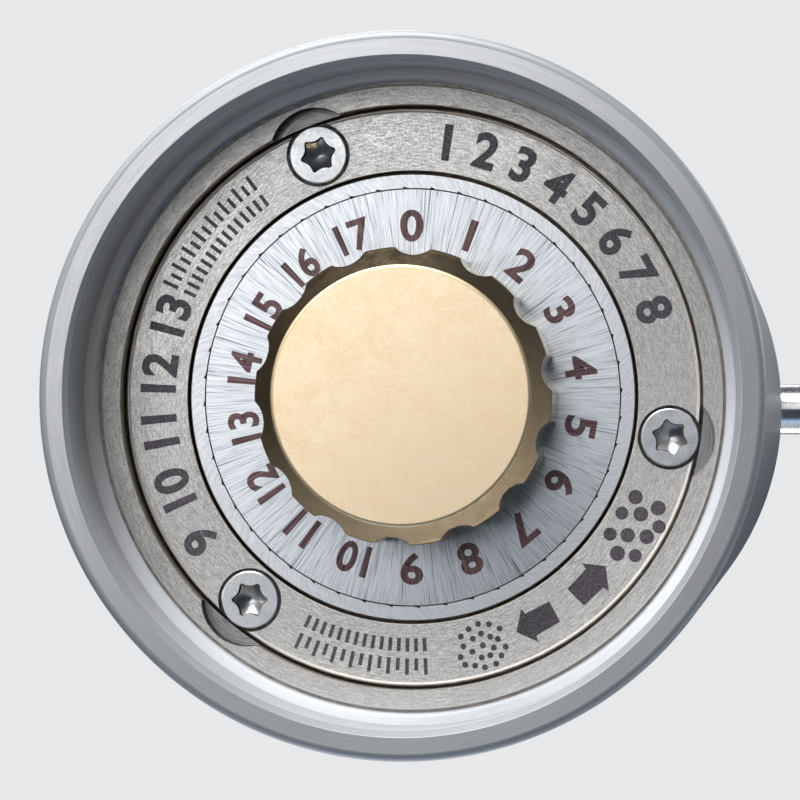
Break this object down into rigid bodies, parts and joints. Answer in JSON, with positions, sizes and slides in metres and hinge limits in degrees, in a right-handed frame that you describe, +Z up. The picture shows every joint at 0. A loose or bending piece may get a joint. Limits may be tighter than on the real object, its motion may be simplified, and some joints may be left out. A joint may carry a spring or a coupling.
{
  "type": "hand coffee grinder",
  "caption": "Hand-cranked conical burr coffee grinder: round steel body open at the base with the jar removed, burrs held by a screwed ring, scalloped brass dial, lid and wooden-knobbed crank.",
  "frame": {"origin": "centre of the bottom rim's plane, on the axle", "axes": "+Z up along the axle, from the open base to the crank; +X along the crank arm at rest"},
  "size_m": [0.1927, 0.064, 0.1844],
  "materials": {
    "satin_steel": "satin turned stainless steel",
    "blasted_steel": "fine bead-blasted stainless steel",
    "ground_steel": "ground hardened stainless steel",
    "screw_steel": "turned stainless fastener",
    "polished_steel": "polished hardened steel",
    "spring_steel": "drawn spring steel",
    "brass": "turned brass with a blasted face",
    "cage_brass": "stamped brass",
    "walnut": "oiled dark hardwood",
    "bush_plastic": "black acetal",
    "seal_rubber": "soft black silicone"
  },
  "bodies": {
    "housing": {"body_shell": "satin_steel", "burr_carrier": "blasted_steel", "burr_retainer_plate": "blasted_steel", "retainer_screws": "screw_steel", "ring_burr": "ground_steel", "ring_burr_key_pins": "screw_steel", "lower_bearing_spider": "blasted_steel", "lower_bearing_outer_race": "polished_steel", "lower_bearing_circlip": "spring_steel", "upper_bearing_bridge": "blasted_steel", "upper_bearing_outer_race": "polished_steel", "upper_bearing_circlip": "spring_steel", "bridge_retaining_ring": "spring_steel"},
    "axle": {"axle": "polished_steel", "lower_bearing_inner_race": "polished_steel", "upper_bearing_inner_race": "polished_steel", "axle_circlip": "spring_steel", "spring_seat_washer": "screw_steel", "burr_spring": "spring_steel"},
    "inner_burr": {"inner_burr": "ground_steel", "burr_washer": "screw_steel"},
    "dial": {"adjustment_dial": "brass", "detent_balls": "polished_steel", "detent_springs": "spring_steel"},
    "lower_bearing_train": {"lower_bearing_balls": "polished_steel", "lower_bearing_cage": "cage_brass"},
    "upper_bearing_train": {"upper_bearing_balls": "polished_steel", "upper_bearing_cage": "cage_brass"},
    "crank": {"crank_hub": "satin_steel", "crank_arm": "satin_steel", "hub_set_screw": "screw_steel", "arm_boss": "satin_steel", "knob_spindle": "polished_steel"},
    "knob": {"crank_knob": "walnut", "knob_bush": "bush_plastic", "knob_cap": "brass"},
    "lid": {"lid": "satin_steel", "lid_bush": "bush_plastic", "lid_seal": "seal_rubber"}
  },
  "joints": [
    {"name": "crank_turn", "type": "hinge", "parent": "housing", "child": "axle", "pos_m": [0, 0, 0.048], "axis": [0, 0, 1], "continuous": true},
    {"name": "burr_slide", "type": "slide", "parent": "axle", "child": "inner_burr", "axis": [0, 0, -1], "range_m": [0, 0.001], "deforming": ["burr_spring"]},
    {"name": "dial_turn", "type": "hinge", "parent": "inner_burr", "child": "dial", "pos_m": [0, 0, 0.006], "axis": [0, 0, -1], "range_deg": [0, 720]},
    {"name": "crank_lift", "type": "slide", "parent": "axle", "child": "crank", "axis": [0, 0, 1], "range_m": [0, 0.02]},
    {"name": "knob_spin", "type": "hinge", "parent": "crank", "child": "knob", "pos_m": [0.14, 0, 0.15], "axis": [0, 0, 1], "continuous": true},
    {"name": "lid_lift", "type": "slide", "parent": "housing", "child": "lid", "axis": [0, 0, 1], "range_m": [0, 0.02]},
    {"name": "lower_bearing_roll", "type": "hinge", "parent": "housing", "child": "lower_bearing_train", "pos_m": [0, 0, 0.048], "axis": [0, 0, 1], "continuous": true},
    {"name": "upper_bearing_roll", "type": "hinge", "parent": "housing", "child": "upper_bearing_train", "pos_m": [0, 0, 0.105], "axis": [0, 0, 1], "continuous": true}
  ],
  "couplings": [
    {"joint": "dial_turn", "follows": "burr_slide", "rad_per_m": 12566},
    {"joint": "lid_lift", "follows": "crank_lift", "ratio": 1},
    {"joint": "lower_bearing_roll", "follows": "crank_turn", "ratio": 0.38889},
    {"joint": "upper_bearing_roll", "follows": "crank_turn", "ratio": 0.38889}
  ]
}
